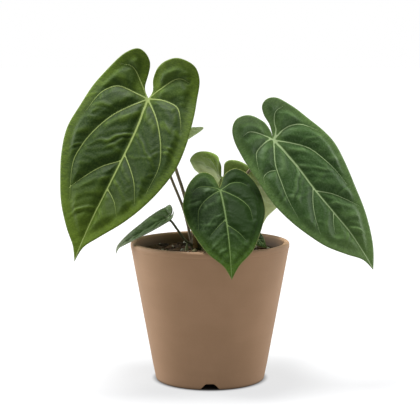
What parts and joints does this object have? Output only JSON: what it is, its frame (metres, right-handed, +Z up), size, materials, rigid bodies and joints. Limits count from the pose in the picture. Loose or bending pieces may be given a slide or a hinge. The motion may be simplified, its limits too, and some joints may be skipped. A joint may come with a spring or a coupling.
{
  "type": "potted anthurium",
  "caption": "Velvet-leaved climbing aroid with long-stalked heart-shaped leaves, growing from a short stem in bark mix in a tapered matt pot.",
  "frame": {"origin": "centre of the pot's underside, on the plane that it stands on", "axes": "+Z up the pot's axis, -Y towards the plant's open side, from which the picture was taken, +X to the right as seen from there"},
  "size_m": [0.2322, 0.155, 0.2496],
  "materials": {
    "pot": "matt, faintly grained",
    "mix": "loose damp bark",
    "stem": "rough, ringed",
    "petiole": "smooth, faintly waxy",
    "young_petiole": "smooth, faintly waxy",
    "blade": "velvety",
    "young_blade": "velvety",
    "bract": "dry and papery",
    "root": "rough",
    "shoot": "smooth"
  },
  "bodies": {
    "root": {"pot": "pot", "potting_mix": "mix", "stem": "stem", "petiole_large": "petiole", "blade_large": "blade", "petiole_right": "petiole", "blade_right": "blade", "petiole_front": "petiole", "blade_front": "blade", "petiole_rear": "young_petiole", "blade_rear": "young_blade", "petiole_low": "petiole", "blade_low": "blade", "petiole_hidden": "petiole", "blade_hidden": "blade", "petiole_inner": "petiole", "blade_inner": "blade", "bract_1": "bract", "bract_2": "bract", "bract_3": "bract", "aerial_root_1": "root", "aerial_root_2": "root", "aerial_root_3": "root", "new_shoot": "shoot"}
  },
  "joints": []
}
